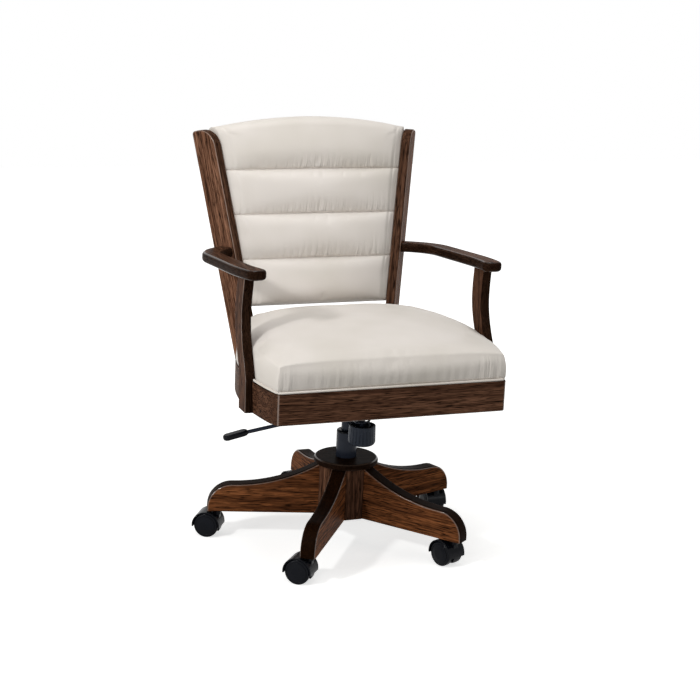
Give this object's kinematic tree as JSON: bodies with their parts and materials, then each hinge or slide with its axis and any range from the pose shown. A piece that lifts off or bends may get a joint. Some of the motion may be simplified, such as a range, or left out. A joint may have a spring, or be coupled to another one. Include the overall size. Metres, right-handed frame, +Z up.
{
  "type": "desk chair",
  "caption": "Wooden swivel desk chair with bowed arms, an upholstered seat, a channelled back and a legged base on twin-wheel casters.",
  "frame": {"origin": "on the floor under the gas lift's axis", "axes": "+Z up along the gas lift, -Y towards the front of the seat, +X to the right in the picture"},
  "size_m": [0.6761, 0.6605, 0.9874],
  "materials": {
    "stained_oak": "satin dark walnut stain",
    "plain_board": "plain plywood and softwood",
    "cream_leather": "smooth off-white",
    "black_plastic": "moulded",
    "wheel_plastic": "moulded",
    "black_steel": "black powder coat",
    "bright_steel": "zinc plated"
  },
  "bodies": {
    "base": {"base_hub": "stained_oak", "base_leg_1": "stained_oak", "base_leg_2": "stained_oak", "base_leg_3": "stained_oak", "base_leg_4": "stained_oak", "base_leg_5": "stained_oak", "base_cover_disc": "stained_oak", "hub_sleeve": "bright_steel", "caster_sockets": "bright_steel", "stand_tube": "black_steel", "guide_bush": "black_plastic"},
    "lift_rod": {"piston_rod": "bright_steel", "thrust_bearing": "bright_steel"},
    "column": {"pressure_tube": "black_steel", "tilt_housing": "black_steel", "tilt_pivot_pin": "bright_steel", "tension_spring": "black_steel"},
    "valve": {"valve_button": "bright_steel"},
    "lever": {"lift_lever_rod": "black_steel", "lift_lever_paddle": "black_plastic"},
    "seat": {"tilt_plate": "black_steel", "tension_bolt": "black_steel", "seat_rail_front": "stained_oak", "seat_rail_back": "stained_oak", "seat_rail_left": "stained_oak", "seat_rail_right": "stained_oak", "seat_cleats": "plain_board", "seat_board": "plain_board", "seat_cushion": "cream_leather", "seat_welt": "cream_leather", "back_post_left": "stained_oak", "back_post_right": "stained_oak", "back_panel": "plain_board", "back_cushion": "cream_leather", "arm_left": "stained_oak", "arm_right": "stained_oak", "arm_post_left": "stained_oak", "arm_post_right": "stained_oak"},
    "washer": {"tension_washer": "black_steel"},
    "knob": {"tension_knob": "black_plastic"},
    "caster_1": {"caster_1_hood": "black_plastic", "caster_1_pins": "bright_steel"},
    "caster_1_wheel_l": {"caster_1_wheel_left": "wheel_plastic"},
    "caster_1_wheel_r": {"caster_1_wheel_right": "wheel_plastic"},
    "caster_2": {"caster_2_hood": "black_plastic", "caster_2_pins": "bright_steel"},
    "caster_2_wheel_l": {"caster_2_wheel_left": "wheel_plastic"},
    "caster_2_wheel_r": {"caster_2_wheel_right": "wheel_plastic"},
    "caster_3": {"caster_3_hood": "black_plastic", "caster_3_pins": "bright_steel"},
    "caster_3_wheel_l": {"caster_3_wheel_left": "wheel_plastic"},
    "caster_3_wheel_r": {"caster_3_wheel_right": "wheel_plastic"},
    "caster_4": {"caster_4_hood": "black_plastic", "caster_4_pins": "bright_steel"},
    "caster_4_wheel_l": {"caster_4_wheel_left": "wheel_plastic"},
    "caster_4_wheel_r": {"caster_4_wheel_right": "wheel_plastic"},
    "caster_5": {"caster_5_hood": "black_plastic", "caster_5_pins": "bright_steel"},
    "caster_5_wheel_l": {"caster_5_wheel_left": "wheel_plastic"},
    "caster_5_wheel_r": {"caster_5_wheel_right": "wheel_plastic"}
  },
  "joints": [
    {"name": "swivel", "type": "hinge", "parent": "base", "child": "lift_rod", "pos_m": [0, 0, 0.07], "axis": [0, 0, 1], "continuous": true},
    {"name": "height", "type": "slide", "parent": "lift_rod", "child": "column", "axis": [0, 0, 1], "range_m": [-0.045, 0.03]},
    {"name": "tilt", "type": "hinge", "parent": "column", "child": "seat", "pos_m": [0, -0.052, 0.37], "axis": [-1, 0, 0], "range_deg": [0, 12], "stiffness_Nm_per_rad": 120, "springref_deg": -31.51, "deforming": ["tension_spring"]},
    {"name": "lever_lift", "type": "hinge", "parent": "column", "child": "lever", "pos_m": [-0.044, -0.06, 0.344], "axis": [0, 1, 0], "range_deg": [0, 4], "stiffness_Nm_per_rad": 4, "springref_deg": -8.59},
    {"name": "valve_press", "type": "slide", "parent": "column", "child": "valve", "axis": [0, 0, -1], "range_m": [0, 0.0031]},
    {"name": "tension_travel", "type": "slide", "parent": "seat", "child": "washer", "axis": [0, 0, 1], "range_m": [-0.0036, 0.0036]},
    {"name": "tension_turn", "type": "hinge", "parent": "washer", "child": "knob", "pos_m": [0, -0.097, 0.27], "axis": [0, 0, 1], "range_deg": [-720, 720]},
    {"name": "caster_1_swivel", "type": "hinge", "parent": "base", "child": "caster_1", "pos_m": [0.18579, -0.24566, 0.06], "axis": [0, 0, 1], "continuous": true},
    {"name": "caster_1_roll_l", "type": "hinge", "parent": "caster_1", "child": "caster_1_wheel_l", "pos_m": [0.17755, -0.22526, 0.03], "axis": [-0.9272, -0.3746, 0], "continuous": true},
    {"name": "caster_1_roll_r", "type": "hinge", "parent": "caster_1", "child": "caster_1_wheel_r", "pos_m": [0.17755, -0.22526, 0.03], "axis": [-0.9272, -0.3746, 0], "continuous": true},
    {"name": "caster_2_swivel", "type": "hinge", "parent": "base", "child": "caster_2", "pos_m": [0.29104, 0.10078, 0.06], "axis": [0, 0, 1], "continuous": true},
    {"name": "caster_2_roll_l", "type": "hinge", "parent": "caster_2", "child": "caster_2_wheel_l", "pos_m": [0.29028, 0.12277, 0.03], "axis": [-0.9994, -0.0349, 0], "continuous": true},
    {"name": "caster_2_roll_r", "type": "hinge", "parent": "caster_2", "child": "caster_2_wheel_r", "pos_m": [0.29028, 0.12277, 0.03], "axis": [-0.9994, -0.0349, 0], "continuous": true},
    {"name": "caster_3_swivel", "type": "hinge", "parent": "base", "child": "caster_3", "pos_m": [-0.00591, 0.30794, 0.06], "axis": [0, 0, 1], "continuous": true},
    {"name": "caster_3_roll_l", "type": "hinge", "parent": "caster_3", "child": "caster_3_wheel_l", "pos_m": [-0.01161, 0.32919, 0.03], "axis": [-0.9659, -0.2588, 0], "continuous": true},
    {"name": "caster_3_roll_r", "type": "hinge", "parent": "caster_3", "child": "caster_3_wheel_r", "pos_m": [-0.01161, 0.32919, 0.03], "axis": [-0.9659, -0.2588, 0], "continuous": true},
    {"name": "caster_4_swivel", "type": "hinge", "parent": "base", "child": "caster_4", "pos_m": [-0.2947, 0.08954, 0.06], "axis": [0, 0, 1], "continuous": true},
    {"name": "caster_4_roll_l", "type": "hinge", "parent": "caster_4", "child": "caster_4_wheel_l", "pos_m": [-0.31336, 0.10119, 0.03], "axis": [-0.5299, -0.848, 0], "continuous": true},
    {"name": "caster_4_roll_r", "type": "hinge", "parent": "caster_4", "child": "caster_4_wheel_r", "pos_m": [-0.31336, 0.10119, 0.03], "axis": [-0.5299, -0.848, 0], "continuous": true},
    {"name": "caster_5_swivel", "type": "hinge", "parent": "base", "child": "caster_5", "pos_m": [-0.17622, -0.25261, 0.06], "axis": [0, 0, 1], "continuous": true},
    {"name": "caster_5_roll_l", "type": "hinge", "parent": "caster_5", "child": "caster_5_wheel_l", "pos_m": [-0.19307, -0.23847, 0.03], "axis": [-0.6428, -0.766, 0], "continuous": true},
    {"name": "caster_5_roll_r", "type": "hinge", "parent": "caster_5", "child": "caster_5_wheel_r", "pos_m": [-0.19307, -0.23847, 0.03], "axis": [-0.6428, -0.766, 0], "continuous": true}
  ],
  "couplings": [
    {"joint": "valve_press", "follows": "lever_lift", "m_per_rad": 0.044},
    {"joint": "tension_travel", "follows": "tension_turn", "m_per_rad": 0.00027852}
  ]
}
